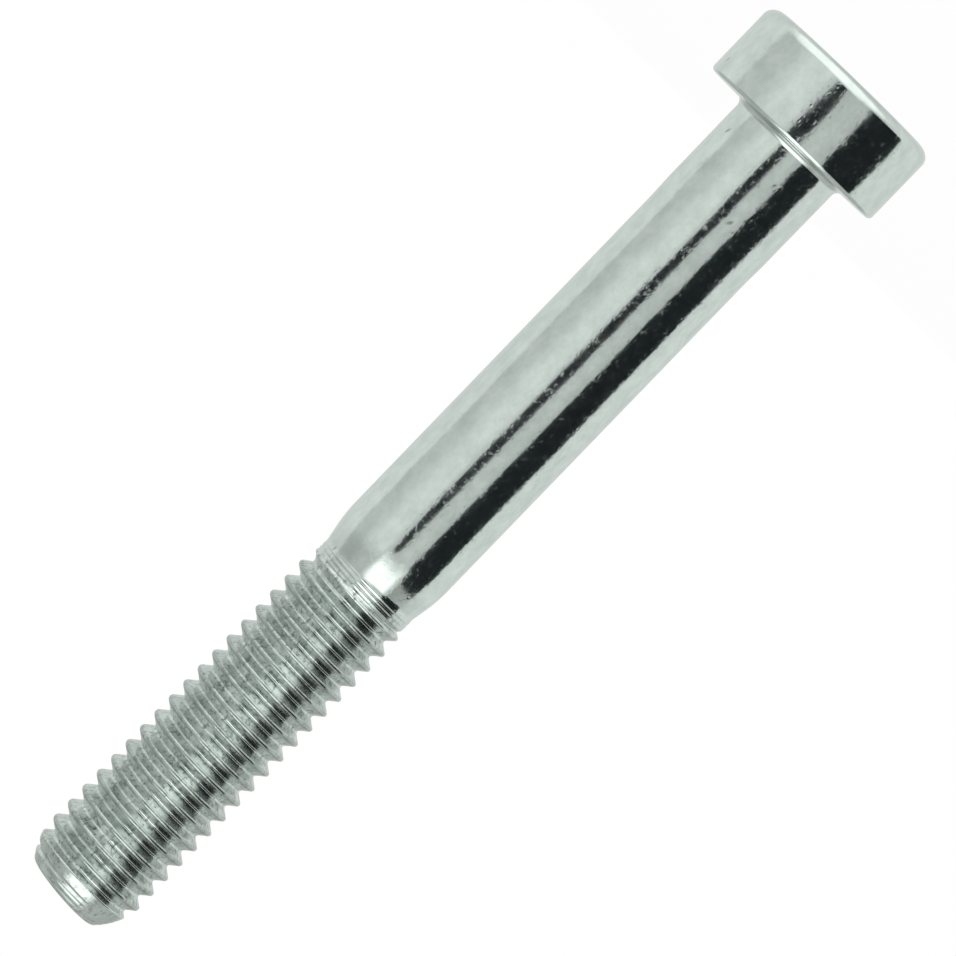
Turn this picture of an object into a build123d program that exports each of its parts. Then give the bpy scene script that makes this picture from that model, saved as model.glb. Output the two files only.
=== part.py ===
from build123d import *
import math
import os

# A partly threaded cap screw with a low cylindrical head and a star (hexalobular) socket.
# The real one is one piece of wire: the head and socket are cold forged, the thread is rolled.
# Millimetres. The origin is the centre of the bearing face under the head, and +Z runs along
# the shank to the end of the thread, so the screw stands on its head.

# Head
head_diameter = 8.38
head_height = 3.40
head_top_round = 0.50  # height of the forged corner between the side and the top
head_top_draw = 0.61  # how far that corner draws in
head_seat_chamfer = 0.20  # corner between the side and the bearing face
seat_fillet = 0.38  # from the bearing face into the shank

# Star socket in the top of the head
socket_size = 4.50  # across opposite points, drive number 25
socket_depth = 1.70
socket_floor_angle = 150.0  # full angle of the shallow cone that the punch leaves
socket_mouth_bevel = 0.08
socket_waist_share = 0.722  # size across the flutes over the size across the points
socket_point_share = 0.089  # radius of a point over the size across the points

# Shank
length = 40.00  # from the bearing face to the end, on the axis
shank_diameter = 4.92
upset_growth = 0.04  # radial swelling of the shank next to the head
upset_draft = 0.01  # how much of the swelling goes before its end
upset_length = 4.70
upset_blend = 0.30  # length over which the rest of it dies away

# Thread
thread_diameter = 4.87  # over the crests
pitch = 0.80
thread_length = 15.525  # from the end to the last full crest
flank_angle = 60.0
crest_growth = 0.19  # how far rolling lifts the crests above the neck they are rolled from
left_hand = True
start_angle = 180.0  # where on the circumference the first turn begins
helix_points = 6  # that each turn of the helix is fitted through

# Neck between the thread and the shank, as thick as the blank that the thread is rolled from
neck_length = 0.55
neck_cone_angle = 20.0  # full angle of the cone from the neck up to the shank

# End
point_length = 1.90
point_curve = 2.75  # radius of the rounded point, tangent to the crests
end_tilt = 5.6  # the sheared end isn't quite square
end_round = 0.12

# Worked out from the sizes above
shank_radius = shank_diameter / 2
crest_radius = thread_diameter / 2
neck_radius = crest_radius - crest_growth
fundamental_height = pitch / 2 / math.tan(math.radians(flank_angle / 2))
thread_depth = 5 / 8 * fundamental_height
root_flat = pitch - 2 * thread_depth * math.tan(math.radians(flank_angle / 2))
root_radius = crest_radius - thread_depth
die_clearance = pitch / 16  # how far the die stands clear of the crests where it enters
die_wall = pitch
stock_radius = crest_radius + die_clearance / 2  # a little over the crests, for the die to trim

full_thread_start = length - thread_length
run_out_start = full_thread_start - pitch  # the first turn sinks to full depth
neck_start = run_out_start - neck_length
shank_end = neck_start - (shank_radius - neck_radius) / math.tan(math.radians(neck_cone_angle / 2))
end_stock = crest_radius * math.tan(math.radians(end_tilt))  # left on for the tilted cut


def stem_profile():
    """Half section of the head and of the shank before its thread is rolled."""
    head_radius = head_diameter / 2
    top_centre = (head_radius - head_top_draw, head_top_round - head_height)
    upset_radius = shank_radius + upset_growth
    point_sweep = math.degrees(math.asin((point_length + end_stock) / point_curve))
    with BuildSketch(Plane.XZ.rotated((0, 0, start_angle))) as profile:
        with BuildLine():
            top_corner = EllipticalCenterArc(
                top_centre, head_top_draw, head_top_round, start_angle=270, arc_size=45
            )
            side_corner = EllipticalCenterArc(
                top_centre, head_top_draw, head_top_round, start_angle=315, arc_size=45
            )
            seat_root = EllipticalCenterArc(
                (upset_radius + seat_fillet, seat_fillet),
                seat_fillet,
                seat_fillet,
                start_angle=180,
                arc_size=90,
            )
            point = CenterArc(
                (stock_radius - point_curve, length - point_length), point_curve, 0, point_sweep
            )
            Polyline(
                side_corner @ 1,
                (head_radius, -head_seat_chamfer),
                (head_radius - head_seat_chamfer, 0),
                seat_root @ 1,
            )
            Polyline(
                seat_root @ 0,
                (upset_radius - upset_draft, upset_length - upset_blend),
                (shank_radius, upset_length),
                (shank_radius, shank_end),
                (neck_radius, neck_start),
                (neck_radius, run_out_start),
                (stock_radius, full_thread_start),
                point @ 0,
            )
            Polyline(point @ 1, (0, length + end_stock), (0, -head_height), top_corner @ 0)
        make_face()
    return profile.sketch


def forged_blank():
    """Head, shank, neck, thread stock and point, turned from one profile and sheared to length."""
    with BuildPart() as blank:
        add(stem_profile())
        revolve(axis=Axis.Z)
        split(bisect_by=Plane((0, 0, length)).rotated((0, end_tilt, 0)), keep=Keep.BOTTOM)
        end_face = blank.faces().sort_by(Axis.Z)[-1]
        fillet(end_face.edges(), end_round)
    return blank.part


def star_outline():
    """The hexalobular outline: six round points joined by six round flutes, all tangent."""
    point_radius = socket_point_share * socket_size
    point_centre = socket_size / 2 - point_radius
    waist = socket_waist_share * socket_size / 2
    across = math.sqrt(3) * point_centre
    flute_radius = (point_centre**2 + waist**2 - across * waist - point_radius**2) / (
        2 * point_radius + across - 2 * waist
    )
    flute_centre = waist + flute_radius
    with BuildSketch() as star:
        with BuildLine():
            for turn in range(0, 360, 60):
                point = Vector(point_centre, 0).rotate(Axis.Z, turn)
                before = Vector(flute_centre, 0).rotate(Axis.Z, turn - 30)
                after = Vector(flute_centre, 0).rotate(Axis.Z, turn + 30)
                following = Vector(point_centre, 0).rotate(Axis.Z, turn + 60)
                tip = Vector(socket_size / 2, 0).rotate(Axis.Z, turn)
                hollow = Vector(waist, 0).rotate(Axis.Z, turn + 30)
                enters = point + (before - point).normalized() * point_radius
                leaves = point + (after - point).normalized() * point_radius
                rejoins = following + (after - following).normalized() * point_radius
                ThreePointArc(enters, tip, leaves)
                ThreePointArc(leaves, hollow, rejoins)
        make_face()
    return star.sketch


def star_socket():
    """The punch that leaves the socket: a star prism with a shallow cone in front."""
    waist = socket_waist_share * socket_size / 2
    cone_height = waist / math.tan(math.radians(socket_floor_angle / 2))
    with BuildPart() as punch:
        with BuildSketch(Plane(origin=(0, 0, -head_height))):
            add(star_outline())
        extrude(amount=socket_depth)
        with Locations((0, 0, socket_depth - head_height)):
            Cone(waist, 0, cone_height, align=(Align.CENTER, Align.CENTER, Align.MIN))
    return punch.part


def thread_line(start_radius, end_radius, start):
    """One turn of the thread's helix, from a start height, drawn in from one radius to another."""
    full_turn = -2 * math.pi if left_hand else 2 * math.pi
    draw = end_radius - start_radius
    shares = [point / helix_points for point in range(helix_points + 1)]
    points = [
        Vector(start_radius + draw * share, 0, start + pitch * share).rotate(
            Axis.Z, start_angle + math.degrees(full_turn) * share
        )
        for share in shares
    ]
    directions = [
        Vector(draw, radius * full_turn, pitch).rotate(Axis.Z, start_angle)
        for radius in (start_radius, end_radius)
    ]
    return Edge.make_spline(points, tangents=directions, parameters=shares, scale=False)


def thread_die():
    """The ring round the thread, as one solid: a first turn that sinks to depth, then whole turns."""
    turns = math.ceil((length + end_stock - run_out_start) / pitch) + 1
    entry_radius = crest_radius + die_clearance
    outer_radius = crest_radius + die_wall
    inside = [thread_line(entry_radius, crest_radius, run_out_start - pitch / 2)]
    outside = [thread_line(outer_radius, outer_radius, run_out_start - pitch / 2)]
    for turn in range(turns):
        root = run_out_start + turn * pitch
        root_entry = entry_radius if turn == 0 else root_radius
        inside.append(thread_line(root_entry, root_radius, root - root_flat / 2))
        inside.append(thread_line(root_entry, root_radius, root + root_flat / 2))
        inside.append(thread_line(crest_radius, crest_radius, root + pitch / 2))
        outside.append(thread_line(outer_radius, outer_radius, root + pitch / 2))
    around = inside + outside[::-1]
    walls = [
        Face.make_surface_from_curves(line, neighbour)
        for line, neighbour in zip(around, around[1:] + around[:1])
    ]
    first = Face(Wire.make_polygon([line @ 0 for line in inside[:4] + outside[1::-1]]))
    last = Face(Wire.make_polygon([line @ 1 for line in inside[-4:] + outside[:-3:-1]]))
    return Solid(Shell(walls + [first, last]))


def cap_screw():
    """The finished screw: the blank with its socket punched and its thread rolled."""
    with BuildPart() as screw:
        add(forged_blank())
        add(star_socket(), mode=Mode.SUBTRACT)
        head_top = screw.faces().filter_by(Plane.XY).sort_by(Axis.Z)[0]
        chamfer(head_top.inner_wires().edges(), socket_mouth_bevel)
        add(thread_die(), mode=Mode.SUBTRACT)
    return screw.part


os.makedirs("parts", exist_ok=True)
screw = cap_screw()
screw.label = "cap_screw"
export_step(screw, "parts/cap_screw.step")
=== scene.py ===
import math

import bmesh
import bpy
from mathutils import Matrix, Vector, noise


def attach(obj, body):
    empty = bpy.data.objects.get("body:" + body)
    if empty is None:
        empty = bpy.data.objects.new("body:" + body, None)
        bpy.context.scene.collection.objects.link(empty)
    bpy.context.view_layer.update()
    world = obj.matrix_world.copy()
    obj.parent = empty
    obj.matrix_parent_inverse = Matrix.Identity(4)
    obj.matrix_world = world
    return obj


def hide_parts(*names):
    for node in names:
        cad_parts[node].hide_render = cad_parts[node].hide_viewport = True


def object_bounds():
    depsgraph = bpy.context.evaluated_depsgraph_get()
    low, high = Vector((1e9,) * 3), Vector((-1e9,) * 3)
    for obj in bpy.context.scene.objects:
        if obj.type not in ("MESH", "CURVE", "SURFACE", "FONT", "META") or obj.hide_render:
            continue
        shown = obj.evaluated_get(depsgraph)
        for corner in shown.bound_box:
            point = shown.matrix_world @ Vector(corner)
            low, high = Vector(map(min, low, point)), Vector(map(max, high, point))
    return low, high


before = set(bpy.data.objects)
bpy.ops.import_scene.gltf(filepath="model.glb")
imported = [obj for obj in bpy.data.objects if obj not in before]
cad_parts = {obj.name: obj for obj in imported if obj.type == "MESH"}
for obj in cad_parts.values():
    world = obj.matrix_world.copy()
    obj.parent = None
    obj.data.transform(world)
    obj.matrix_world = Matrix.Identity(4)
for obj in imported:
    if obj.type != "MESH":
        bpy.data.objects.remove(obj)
cad_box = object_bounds()


# Head
# A low cylindrical head, upset cold from the end of the wire between two dies. The closed die
# leaves a drawn corner at the top, a small round at the bearing face and a fillet into the shank.
mm = 0.001
around = 120  # faces round the screw, a whole number for each lobe of the socket
head_radius = 4.185
head_height = 3.40
top_corner = (0.61, 0.50)  # how far the corner draws in, and its height
seat_corner = 0.19
seat_fillet = (0.38, 0.29)  # outwards, and along the shank
socket_land = 2.62  # radius at which the flat top stops and the socket's mouth begins
swollen_radius = 2.50  # the shank is thicker beside the head


def bend(centre, radii, first, last, steps):
    """Points of an elliptical bend in the profile, as radius and height."""
    angles = [math.radians(first + (last - first) * step / steps) for step in range(steps + 1)]
    return [
        (centre[0] + radii[0] * math.cos(angle), centre[1] + radii[1] * math.sin(angle))
        for angle in angles
    ]


profile = [(socket_land, -head_height)]
profile += bend(
    (head_radius - top_corner[0], top_corner[1] - head_height), top_corner, -90, 0, 14
)
profile += bend(
    (head_radius - seat_corner, -seat_corner), (seat_corner, seat_corner), 0, 90, 10
)
profile += bend(
    (swollen_radius + seat_fillet[0], seat_fillet[1]), seat_fillet, 270, 180, 12
)


# Shank and neck
# The drawn wire itself, a little under 5 mm thick and swollen near the head by the upsetting.
# The threaded end was first squeezed down to a thinner neck, over a soft cone.
shank_radius = 2.46
swollen_to = 4.70
shank_end = 21.95
neck_radius = 2.245
neck_start = 23.12
shoulder = 0.55  # how far the corner between shank and cone is rounded
shoulder_steps = 8

# the swelling thins a little towards its end and then dies away
profile += [
    (swollen_radius - 0.01, swollen_to - 0.7),
    (swollen_radius - 0.02, swollen_to - 0.25),
    (shank_radius + 0.005, swollen_to + 0.15),
    (shank_radius, swollen_to + 0.6),
    (shank_radius, shank_end - shoulder * 1.6),
]
cone_slope = (shank_radius - neck_radius) / (neck_start - shank_end)
for step in range(shoulder_steps + 1):
    share = step / shoulder_steps
    along = shank_end - shoulder + 2 * shoulder * share
    profile.append((shank_radius - cone_slope * shoulder * share**2, along))
# the cone runs into the neck over a small hollow
profile += [(neck_radius + 0.03, neck_start - 0.16), (neck_radius + 0.006, neck_start - 0.05)]


# Rolled thread
# M5 by 0.8 mm, rolled between flat dies that push the metal out of the roots into round crests.
# It fades into the neck, where the edges of the dies have left a few fine rings.
crest_radius = 2.435
root_radius = 2.05
pitch = 0.80
rows_per_turn = 28
neck_rows_per_turn = 50  # closer, for the fine rings
full_crest_height = 24.475  # on +X
crest_run_in = 1.35  # turns before that height at which the crest begins to rise
root_run_in = (1.05, 0.5)  # turns before it at which the root begins and ends to sink
flank_slope = 1.45  # worn dies have left the flanks flatter than the nominal 60 degree groove
flank_hollow = 0.4  # and a little hollow
crest_round = 0.075  # height over which the flanks turn into crest and root
root_round = 0.05
crest_wear = 0.003
crest_wander = 0.006  # the crests rise and fall as the dies fill
waves_per_turn = 2.1  # of that wander
ring_height = 0.010  # of the die marks on the neck and on the point
ring_spacing = 0.19
point_ring_share = 0.6
unevenness = 0.003  # of the rolled surface, in gentle swells
swells_per_mm = 3.5
point_height = 38.10
point_curve = 2.75
point_round = 0.04  # where the point cuts off the crests
end_height = 40.00
end_tilt = math.radians(5.6)

row = neck_start
while row < end_height + 0.30:
    profile.append((neck_radius, row))
    row += pitch / (neck_rows_per_turn if row < full_crest_height else rows_per_turn)

body = bmesh.new()
line = [body.verts.new((radius, 0, height)) for radius, height in profile]
edges = [body.edges.new(pair) for pair in zip(line, line[1:])]
bmesh.ops.spin(
    body, geom=line + edges, cent=(0, 0, 0), axis=(0, 0, 1), angle=math.tau,
    steps=around, use_merge=True,
)


def soft_lower(first, second, reach):
    """The lower of two heights, rounded where they cross."""
    near = max(reach - abs(first - second), 0) / reach
    return min(first, second) - near * near * reach / 4


def ease(low, high, value):
    """0 below low, 1 above high and a smooth rise between."""
    share = min(max((value - low) / (high - low), 0), 1)
    return share * share * (3 - 2 * share)


def thread_radius(height, turn):
    """Radius of the rolled surface at a height and at a part of a turn from +X."""
    along = (height - full_crest_height) / pitch + turn
    raised = ease(full_crest_height - crest_run_in * pitch, full_crest_height, height)
    sunk = ease(
        full_crest_height - root_run_in[0] * pitch, full_crest_height - root_run_in[1] * pitch,
        height,
    )
    wander = crest_wander * noise.noise(Vector((along * waves_per_turn, 3.7, 1.3)))
    crest = neck_radius + (crest_radius - crest_wear - neck_radius) * raised + wander
    root = neck_radius + (root_radius - neck_radius) * sunk
    from_crest = abs(along - round(along)) * pitch
    flank = crest + crest_round - flank_slope * from_crest + flank_hollow * from_crest**2
    cut = soft_lower(flank, crest, crest_round)
    cut = -soft_lower(-cut, -root, root_round)
    marked = ease(neck_start, neck_start + 0.08, height) * (1 - sunk)
    marked += point_ring_share * ease(point_height + 0.9, point_height + 1.2, height)
    rings = ring_height * math.cos(math.tau * along * pitch / ring_spacing) * marked
    point = crest_radius - point_curve
    point += math.sqrt(point_curve**2 - max(height - point_height, 0) ** 2)
    return soft_lower(cut, point, point_round) + rings


for vert in body.verts:
    if vert.co.z >= neck_start - 1e-6:
        turn = math.atan2(vert.co.y, vert.co.x) / math.tau
        radius = thread_radius(vert.co.z, turn)
        radius += unevenness * noise.noise(vert.co * swells_per_mm)
        vert.co.x = radius * math.cos(turn * math.tau)
        vert.co.y = radius * math.sin(turn * math.tau)


# Sheared end
# The wire was cropped off before rolling, a few degrees out of square, and the thread dies have
# rounded its rim. The face in the middle stays flat.
rim_drop = 0.05
slant = Vector((math.sin(end_tilt), 0, math.cos(end_tilt)))
cut_centre = Vector((0, 0, end_height)) - slant * rim_drop
bmesh.ops.bisect_plane(
    body,
    geom=body.verts[:] + body.edges[:] + body.faces[:],
    plane_co=cut_centre,
    plane_no=slant,
    clear_outer=True,
)
rim = [edge for edge in body.edges if edge.is_boundary and edge.verts[0].co.z > point_height]
# each loop goes further in and a little higher, so that the rim is round and the face flat
for inward, rise in (
    (0.04, 0.022), (0.05, 0.015), (0.06, 0.008), (0.10, 0.004), (0.2, 0.001), (0.3, 0), (0.4, 0),
):
    grown = bmesh.ops.extrude_edge_only(body, edges=rim)["geom"]
    rim = [item for item in grown if isinstance(item, bmesh.types.BMEdge) and item.is_boundary]
    for vert in {vert for edge in rim for vert in edge.verts}:
        out = vert.co - cut_centre
        out -= slant * out.dot(slant)
        vert.co += slant * rise - out.normalized() * inward
bmesh.ops.contextual_create(body, geom=rim)


# Star socket
# Six round lobes and six round flutes for a number 25 star drive, punched into the head in the
# second blow. The punch rounds the mouth and leaves a shallow cone at the bottom.
lobe_size = 4.50
flute_size = 3.25
lobe_radius = 0.40
socket_depth = 1.70
mouth_round = 0.08
floor_round = 0.06
floor_drop = 0.30  # of the cone at the bottom
waist = flute_size / 2
lobe_centre = lobe_size / 2 - lobe_radius
spread = math.sqrt(3) * lobe_centre  # lobes and flutes are 30 degrees apart
flute_radius = (lobe_centre**2 + waist**2 - spread * waist - lobe_radius**2) / (
    2 * lobe_radius + spread - flute_size
)
flute_centre = waist + flute_radius
centres_apart = math.sqrt(lobe_centre**2 + flute_centre**2 - spread * flute_centre)
# angle at which a lobe runs into the next flute
joint = math.degrees(
    math.atan2(
        flute_centre * math.sin(math.radians(30)) * lobe_radius / centres_apart,
        lobe_centre
        + (flute_centre * math.cos(math.radians(30)) - lobe_centre) * lobe_radius / centres_apart,
    )
)


def star_radius(angle):
    """Distance from the axis to the star's outline, on a lobe near 0 and a flute near 30 degrees."""
    turn = abs((math.degrees(angle) + 30) % 60 - 30)
    if turn < joint:
        off = math.radians(turn)
        across = lobe_centre * math.sin(off)
        return lobe_centre * math.cos(off) + math.sqrt(lobe_radius**2 - across**2)
    off = math.radians(30 - turn)
    across = flute_centre * math.sin(off)
    return flute_centre * math.cos(off) - math.sqrt(flute_radius**2 - across**2)


mouth = [
    edge for edge in body.edges
    if edge.is_boundary and edge.verts[0].co.z < -head_height + 0.01
]
for outward, height in (
    (mouth_round, -head_height),
    (mouth_round * 0.3, -head_height + mouth_round * 0.3),
    (0, -head_height + mouth_round),
    (0, -head_height + socket_depth - floor_round),
    (-floor_round, -head_height + socket_depth),
):
    grown = bmesh.ops.extrude_edge_only(body, edges=mouth)["geom"]
    mouth = [item for item in grown if isinstance(item, bmesh.types.BMEdge) and item.is_boundary]
    for vert in {vert for edge in mouth for vert in edge.verts}:
        angle = math.atan2(vert.co.y, vert.co.x)
        radius = star_radius(angle) + outward
        vert.co = (radius * math.cos(angle), radius * math.sin(angle), height)
for share in (0.6, 0.25):
    grown = bmesh.ops.extrude_edge_only(body, edges=mouth)["geom"]
    mouth = [item for item in grown if isinstance(item, bmesh.types.BMEdge) and item.is_boundary]
    for vert in {vert for edge in mouth for vert in edge.verts}:
        vert.co.x *= share
        vert.co.y *= share
        vert.co.z += floor_drop * (1 - share)
floor_point = bmesh.ops.contextual_create(body, geom=mouth)
bmesh.ops.poke(body, faces=floor_point["faces"])

bmesh.ops.remove_doubles(body, verts=body.verts, dist=0.0005)
bmesh.ops.recalc_face_normals(body, faces=body.faces)
bmesh.ops.scale(body, vec=(mm, mm, mm), verts=body.verts)
for face in body.faces:
    face.smooth = True
screw_mesh = bpy.data.meshes.new("cap_screw_body")
body.to_mesh(screw_mesh)
body.free()
screw = bpy.data.objects.new("cap_screw_body", screw_mesh)
bpy.context.scene.collection.objects.link(screw)


# Zinc plating
# Bright zinc over steel: a pale grey mirror with a faint green cast, softened by the grain of the
# drawn wire and by fine pits, so dark things reflected in it look speckled and ragged. The rolled
# thread is duller and more stained, and its crests are coloured darker.
per_mm = 1 / mm
micron = mm / 1000


def linear(code):
    """A linear colour from an sRGB hex value."""
    parts = [int(code[place:place + 2], 16) / 255 for place in (1, 3, 5)]
    return [
        part / 12.92 if part <= 0.04045 else ((part + 0.055) / 1.055) ** 2.4 for part in parts
    ] + [1.0]


def node(tree, kind, links=None, **settings):
    """Add a node, with its settings and with a value or a link for each named input."""
    made = tree.nodes.new(kind)
    for name, value in settings.items():
        setattr(made, name, value)
    for name, value in (links or {}).items():
        if isinstance(value, bpy.types.NodeSocket):
            tree.links.new(value, made.inputs[name])
        else:
            made.inputs[name].default_value = value
    return made


zinc = bpy.data.materials.new("bright_zinc_plated_steel")
zinc.use_nodes = True
tree = zinc.node_tree
tree.nodes.clear()
place = node(tree, "ShaderNodeTexCoord").outputs["Object"]
# grain of the drawn wire, about 0.5 mm wide and 1.5 mm long: coarser than real, so that it shows
drawn = node(
    tree, "ShaderNodeMapping", {"Vector": place, "Scale": (per_mm, per_mm, 0.3 * per_mm)}
)
grain = node(
    tree, "ShaderNodeTexNoise",
    {"Vector": drawn.outputs[0], "Scale": 2.2, "Detail": 2.0, "Roughness": 0.5},
)
# clouds in the plating, about 0.6 mm across, and specks of about 0.2 mm
fine = node(
    tree, "ShaderNodeMapping", {"Vector": place, "Scale": (per_mm, per_mm, 0.8 * per_mm)}
)
cloud = node(
    tree, "ShaderNodeTexNoise",
    {"Vector": fine.outputs[0], "Scale": 1.6, "Detail": 5.0, "Roughness": 0.62},
)
specks = node(
    tree, "ShaderNodeTexNoise",
    {"Vector": fine.outputs[0], "Scale": 5.5, "Detail": 2.0, "Roughness": 0.6},
)
speck_share = node(
    tree, "ShaderNodeMapRange",
    {"Value": specks.outputs[0], "From Min": 0.50, "From Max": 0.80},
    interpolation_type="SMOOTHSTEP",
)
# pits about 0.15 mm across, coarser than real, and only some of them deep
pits = node(tree, "ShaderNodeTexVoronoi", {"Vector": fine.outputs[0], "Scale": 3.4})
pit_depth = node(
    tree, "ShaderNodeMapRange",
    {"Value": pits.outputs["Distance"], "From Max": 0.26, "To Min": 1.0, "To Max": 0.0},
    interpolation_type="SMOOTHSTEP",
)
pit_share = node(
    tree, "ShaderNodeMapRange",
    {"Value": pits.outputs["Color"], "From Min": 0.58, "From Max": 0.9},
)
pitted = node(
    tree, "ShaderNodeMath", {0: pit_depth.outputs[0], 1: pit_share.outputs[0]}, operation="MULTIPLY"
)
# a few knocks from other screws in the drum, up to 0.8 mm long and 0.2 mm wide
knocked = node(
    tree, "ShaderNodeMapping",
    {"Vector": place, "Rotation": (0, -0.9, 0.4), "Scale": (3.5 * mm, mm, mm)},
    vector_type="TEXTURE",
)
knocks = node(tree, "ShaderNodeTexVoronoi", {"Vector": knocked.outputs[0], "Scale": 1.1})
knock_depth = node(
    tree, "ShaderNodeMapRange",
    {"Value": knocks.outputs["Distance"], "From Max": 0.12, "To Min": 1.0, "To Max": 0.0},
    interpolation_type="SMOOTHSTEP",
)
knock_share = node(
    tree, "ShaderNodeMapRange",
    {"Value": knocks.outputs["Color"], "From Min": 0.50, "From Max": 0.60},
)
knocked_in = node(
    tree, "ShaderNodeMath", {0: knock_depth.outputs[0], 1: knock_share.outputs[0]},
    operation="MULTIPLY",
)
# how far along the screw and how far out, for the thread and its crests
sized = node(tree, "ShaderNodeMapping", {"Vector": place, "Scale": (per_mm, per_mm, per_mm)})
along = node(tree, "ShaderNodeSeparateXYZ", {0: sized.outputs[0]})
past_neck = node(
    tree, "ShaderNodeMapRange",
    {"Value": along.outputs[2], "From Min": neck_start - 0.12, "From Max": neck_start + 0.78},
    interpolation_type="SMOOTHSTEP",
)
before_point = node(
    tree, "ShaderNodeMapRange",
    {
        "Value": along.outputs[2], "From Min": point_height + 0.5,
        "From Max": point_height + 1.3, "To Min": 1.0, "To Max": 0.7,
    },
    interpolation_type="SMOOTHSTEP",
)
rolled = node(
    tree, "ShaderNodeMath", {0: past_neck.outputs[0], 1: before_point.outputs[0]},
    operation="MULTIPLY",
)
flattened = node(tree, "ShaderNodeMapping", {"Vector": place, "Scale": (per_mm, per_mm, 0)})
outwards = node(tree, "ShaderNodeVectorMath", {0: flattened.outputs[0]}, operation="LENGTH")
near_crest = node(
    tree, "ShaderNodeMapRange",
    {
        "Value": outwards.outputs["Value"], "From Min": crest_radius - 0.105,
        "From Max": crest_radius - 0.015, "To Max": 0.45,
    },
    interpolation_type="SMOOTHSTEP",
)
crest_share = node(
    tree, "ShaderNodeMath", {0: near_crest.outputs[0], 1: rolled.outputs[0]},
    operation="MULTIPLY",
)
wavy = node(
    tree, "ShaderNodeBump",
    {"Height": grain.outputs[0], "Strength": 1.0, "Distance": 5 * micron},
)
speckled = node(
    tree, "ShaderNodeBump",
    {
        "Height": speck_share.outputs[0], "Strength": 1.0, "Distance": 2.2 * micron,
        "Normal": wavy.outputs[0],
    },
)
pricked = node(
    tree, "ShaderNodeBump",
    {
        "Height": pitted.outputs[0], "Strength": 1.0, "Distance": 4.2 * micron,
        "Normal": speckled.outputs[0],
    },
    invert=True,
)
bumped = node(
    tree, "ShaderNodeBump",
    {
        "Height": knocked_in.outputs[0], "Strength": 1.0, "Distance": 12 * micron,
        "Normal": pricked.outputs[0],
    },
    invert=True,
)
# bright metal, duller in the clouds, in the specks and on the rolled thread
shine = node(
    tree, "ShaderNodeMapRange",
    {"Value": cloud.outputs[0], "From Min": 0.3, "From Max": 0.7, "To Min": 0.08, "To Max": 0.15},
)
matt = node(
    tree, "ShaderNodeMath", {0: speck_share.outputs[0], 1: 0.15, 2: shine.outputs[0]},
    operation="MULTIPLY_ADD",
)
dulled = node(
    tree, "ShaderNodeMath", {0: rolled.outputs[0], 1: 0.06, 2: matt.outputs[0]},
    operation="MULTIPLY_ADD",
)
bloom = node(
    tree, "ShaderNodeMapRange",
    {"Value": cloud.outputs[0], "From Min": 0.30, "From Max": 0.70},
)
# pale on the shank and head, stained on the thread, darker on crests, specks and knocks
plain = node(
    tree, "ShaderNodeMix",
    {0: bloom.outputs[0], 6: linear("#C8CECC"), 7: linear("#DCE0DE")}, data_type="RGBA",
)
stained = node(
    tree, "ShaderNodeMix",
    {0: bloom.outputs[0], 6: linear("#B4BAB8"), 7: linear("#E2E6E4")}, data_type="RGBA",
)
tone = node(
    tree, "ShaderNodeMix",
    {0: rolled.outputs[0], 6: plain.outputs[2], 7: stained.outputs[2]}, data_type="RGBA",
)
crested = node(
    tree, "ShaderNodeMix",
    {0: crest_share.outputs[0], 6: tone.outputs[2], 7: linear("#7E8482")}, data_type="RGBA",
)
flecked = node(
    tree, "ShaderNodeMath", {0: rolled.outputs[0], 1: speck_share.outputs[0]},
    operation="MULTIPLY",
)
dirt = node(
    tree, "ShaderNodeMath",
    {0: flecked.outputs[0], 1: 1.4, 2: knocked_in.outputs[0]}, operation="MULTIPLY_ADD",
    use_clamp=True,
)
soiled = node(
    tree, "ShaderNodeMix",
    {0: dirt.outputs[0], 6: crested.outputs[2], 7: linear("#8C9290")}, data_type="RGBA",
)
surface = node(
    tree, "ShaderNodeBsdfPrincipled",
    {
        "Base Color": soiled.outputs[2], "Metallic": 1.0, "Roughness": dulled.outputs[0],
        "Normal": bumped.outputs[0],
    },
)
node(tree, "ShaderNodeOutputMaterial", {"Surface": surface.outputs[0]})
screw_mesh.materials.append(zinc)
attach(screw, "root")
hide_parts("cap_screw")


# Table
# A plain white table that the screw stands on, head down. Its matt white top looks white all over
# and keeps a faint soft shadow round the head.
table_radius = 3.0
white_share = 0.96
table_mesh = bpy.data.meshes.new("table")
table_form = bmesh.new()
bmesh.ops.create_circle(
    table_form, cap_ends=True, segments=64, radius=table_radius,
    matrix=Matrix.Translation((0, 0, cad_box[0][2])),
)
table_form.to_mesh(table_mesh)
table_form.free()
table = bpy.data.objects.new("table", table_mesh)
bpy.context.scene.collection.objects.link(table)
table.visible_glossy = False
white = bpy.data.materials.new("white_table_top")
white.use_nodes = True
tree = white.node_tree
tree.nodes.clear()
path = node(tree, "ShaderNodeLightPath")
mirrored = node(
    tree, "ShaderNodeMath",
    {0: path.outputs["Is Glossy Ray"], 1: path.outputs["Is Transmission Ray"]},
    operation="MAXIMUM",
)
seen = node(
    tree, "ShaderNodeMath", {0: path.outputs["Is Camera Ray"], 1: mirrored.outputs[0]},
    operation="MAXIMUM",
)
whitened = node(
    tree, "ShaderNodeMath", {0: seen.outputs[0], 1: white_share}, operation="MULTIPLY"
)
matt_top = node(tree, "ShaderNodeBsdfDiffuse", {"Color": linear("#F4F4F4")})
bright_top = node(tree, "ShaderNodeEmission", {"Color": linear("#FFFFFF")})
mixed = node(
    tree, "ShaderNodeMixShader",
    {0: whitened.outputs[0], 1: matt_top.outputs[0], 2: bright_top.outputs[0]},
)
node(tree, "ShaderNodeOutputMaterial", {"Surface": mixed.outputs[0]})
table_mesh.materials.append(white)


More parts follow.
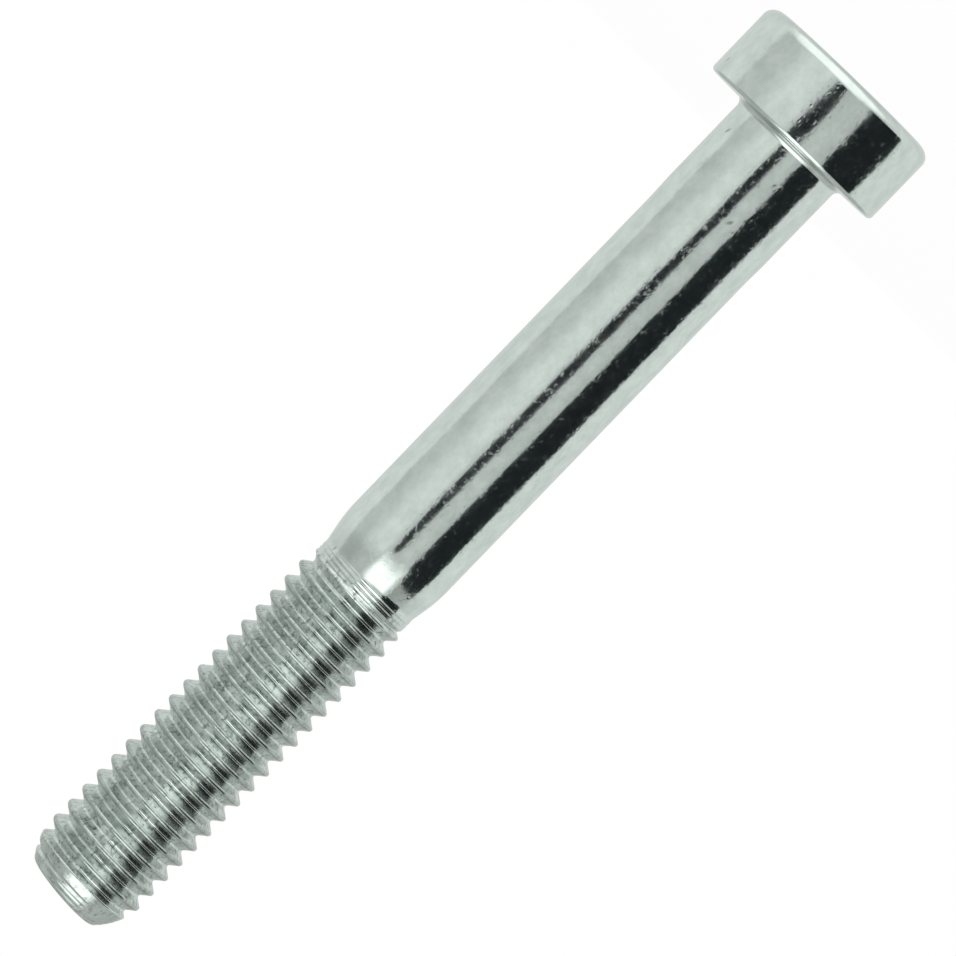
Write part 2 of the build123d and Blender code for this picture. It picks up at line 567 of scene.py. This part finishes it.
# Light tent
# A closed tent of white cloth round the screw, a third dimmer overhead. A strip of it on the right
# and two beside the lens hang in shade, and show as soft grey bands along the bright metal.
tent_radius = 0.60
back_level = 0.80  # how bright the cloth hangs behind the screw
tent_form = bmesh.new()
bmesh.ops.create_uvsphere(tent_form, u_segments=96, v_segments=48, radius=tent_radius)
tent_mesh = bpy.data.meshes.new("light_tent")
tent_form.to_mesh(tent_mesh)
tent_form.free()
tent = bpy.data.objects.new("light_tent", tent_mesh)
bpy.context.scene.collection.objects.link(tent)
tent.visible_camera = False
tent.visible_shadow = False
cloth = bpy.data.materials.new("lit_white_tent_cloth")
cloth.use_nodes = True
tree = cloth.node_tree
tree.nodes.clear()
spot = node(
    tree, "ShaderNodeSeparateXYZ", {0: node(tree, "ShaderNodeTexCoord").outputs["Object"]}
)
left = node(tree, "ShaderNodeMath", {0: spot.outputs[0], 1: -1.0}, operation="MULTIPLY")
front = node(tree, "ShaderNodeMath", {0: spot.outputs[1], 1: -1.0}, operation="MULTIPLY")
bearing = node(
    tree, "ShaderNodeMath", {0: left.outputs[0], 1: front.outputs[0]}, operation="ARCTAN2"
)
share = node(
    tree, "ShaderNodeMapRange",
    {"Value": bearing.outputs[0], "From Min": -math.pi, "From Max": math.pi},
)
shade = node(tree, "ShaderNodeValToRGB", {"Fac": share.outputs[0]})
folds = shade.color_ramp.elements
folds[0].color = (back_level, back_level, back_level, 1)
folds.remove(folds[-1])
# degrees from the lens towards -X, and how bright the cloth hangs there
for degrees, level in (
    (-168, 0.82), (-150, 0.88), (-128, 0.95), (-97, 1.0), (-93, 0.74), (-80, 0.76), (-65, 0.82),
    (-52, 0.93), (-42, 1.0), (-20, 1.0), (-12, 0.8), (8, 0.72), (22, 0.8), (36, 0.7), (52, 0.72),
    (80, 0.9), (96, 0.97), (130, 0.96), (150, 0.87), (168, 0.82), (179, back_level),
):
    fold = folds.new((degrees + 180) / 360)
    fold.color = (level, level, level, 1)
daylight = node(
    tree, "ShaderNodeMix", {0: 1.0, 6: shade.outputs[0], 7: linear("#F0F7F2")},
    data_type="RGBA", blend_type="MULTIPLY",
)
overhead = node(
    tree, "ShaderNodeMapRange",
    {"Value": spot.outputs[2], "From Min": 0.11, "From Max": 0.28, "To Min": 1.0, "To Max": 0.66},
    interpolation_type="SMOOTHSTEP",
)
lit_cloth = node(
    tree, "ShaderNodeEmission",
    {"Color": daylight.outputs[2], "Strength": overhead.outputs[0]},
)
node(tree, "ShaderNodeOutputMaterial", {"Surface": lit_cloth.outputs[0]})
tent_mesh.materials.append(cloth)


# Dark door and lens
# The open door of the tent, dark, and the black front of the lens. They are the dark band and the
# thin dark streak that run the whole length of the shank.
def card(name, place, half_width, half_height, middle, edge, colour, round_card=False):
    """A card that faces the screw and only shows in the metal, as bright as middle and edge say."""
    form = bmesh.new()
    if round_card:
        bmesh.ops.create_circle(form, cap_ends=True, segments=64, radius=1.0)
    else:
        bmesh.ops.create_grid(form, x_segments=1, y_segments=1, size=1.0)
    mesh = bpy.data.meshes.new(name)
    form.to_mesh(mesh)
    form.free()
    made = bpy.data.objects.new(name, mesh)
    bpy.context.scene.collection.objects.link(made)
    made.matrix_world = (
        Matrix.Translation(place)
        @ (-Vector(place)).to_track_quat("Z", "Y").to_matrix().to_4x4()
        @ Matrix.Diagonal((half_width, half_height, 1, 1))
    )
    made.visible_camera = False
    made.visible_shadow = False
    paint = bpy.data.materials.new(name)
    paint.use_nodes = True
    tree = paint.node_tree
    tree.nodes.clear()
    across = node(tree, "ShaderNodeTexCoord").outputs["Object"]
    if round_card:
        out = node(tree, "ShaderNodeVectorMath", {0: across}, operation="LENGTH").outputs["Value"]
    else:
        sides = node(tree, "ShaderNodeVectorMath", {0: across}, operation="ABSOLUTE")
        side = node(tree, "ShaderNodeSeparateXYZ", {0: sides.outputs[0]})
        out = node(
            tree, "ShaderNodeMath", {0: side.outputs[0], 1: side.outputs[1]}, operation="MAXIMUM"
        ).outputs[0]
    glow = node(
        tree, "ShaderNodeMapRange",
        {"Value": out, "From Min": 0.35, "From Max": 1.0, "To Min": middle, "To Max": edge},
        interpolation_type="SMOOTHSTEP",
    )
    shining = node(
        tree, "ShaderNodeEmission", {"Color": linear(colour), "Strength": glow.outputs[0]}
    )
    node(tree, "ShaderNodeOutputMaterial", {"Surface": shining.outputs[0]})
    mesh.materials.append(paint)


card(
    "dark_tent_door", (-0.4457, -0.2164, 0.0), half_width=0.237, half_height=0.20,
    middle=0.021, edge=0.027, colour="#D2ECF2",
)
card(
    "black_lens_front", (0.009, -0.262, 0.006), half_width=0.041, half_height=0.047,
    middle=0.028, edge=0.05, colour="#D8E8F2", round_card=True,
)


# Softbox and reflector
# A softbox high over the lens and a white reflector lying low under the screw. The shank and the
# side of the head don't see them: they shine in what leans up or down, such as thread and rims.
card(
    "softbox", (-0.0614, -0.266, 0.2925), half_width=0.26, half_height=0.30,
    middle=2.05, edge=0.72, colour="#F0F7F2",
)
card(
    "reflector", (0.015, -0.03, -0.06), half_width=0.10, half_height=0.075,
    middle=1.6, edge=0.95, colour="#F0F7F2",
)


# White room
# Pure white behind everything, at the plain level that lights the table.
world = bpy.data.worlds.new("white_room")
bpy.context.scene.world = world
world.use_nodes = True
world.node_tree.nodes["Background"].inputs["Color"].default_value = (1, 1, 1, 1)
world.node_tree.nodes["Background"].inputs["Strength"].default_value = 1.0


# Camera
# A long lens level with the foot of the shank, aimed at the middle of the screw and rolled so that
# the screw lies aslant in its view, from the lower left to the upper right, head uppermost.
camera_data = bpy.data.cameras.new("camera")
camera_data.lens = 263.1
camera_data.sensor_width = 36
camera_data.clip_start = 0.01
camera_data.clip_end = 20
camera = bpy.data.objects.new("camera", camera_data)
bpy.context.scene.collection.objects.link(camera)
eye = Vector((0, -0.267, 0.0038))
aim = Vector((-0.000278, 0, 0.017449))
upwards = Vector((0.69413, 0, -0.71985))
back = (eye - aim).normalized()
right = upwards.cross(back).normalized()
turned = Matrix((right, back.cross(right), back)).transposed().to_4x4()
camera.matrix_world = Matrix.Translation(eye) @ turned
bpy.context.scene.camera = camera
bpy.context.scene.view_settings.view_transform = "Standard"
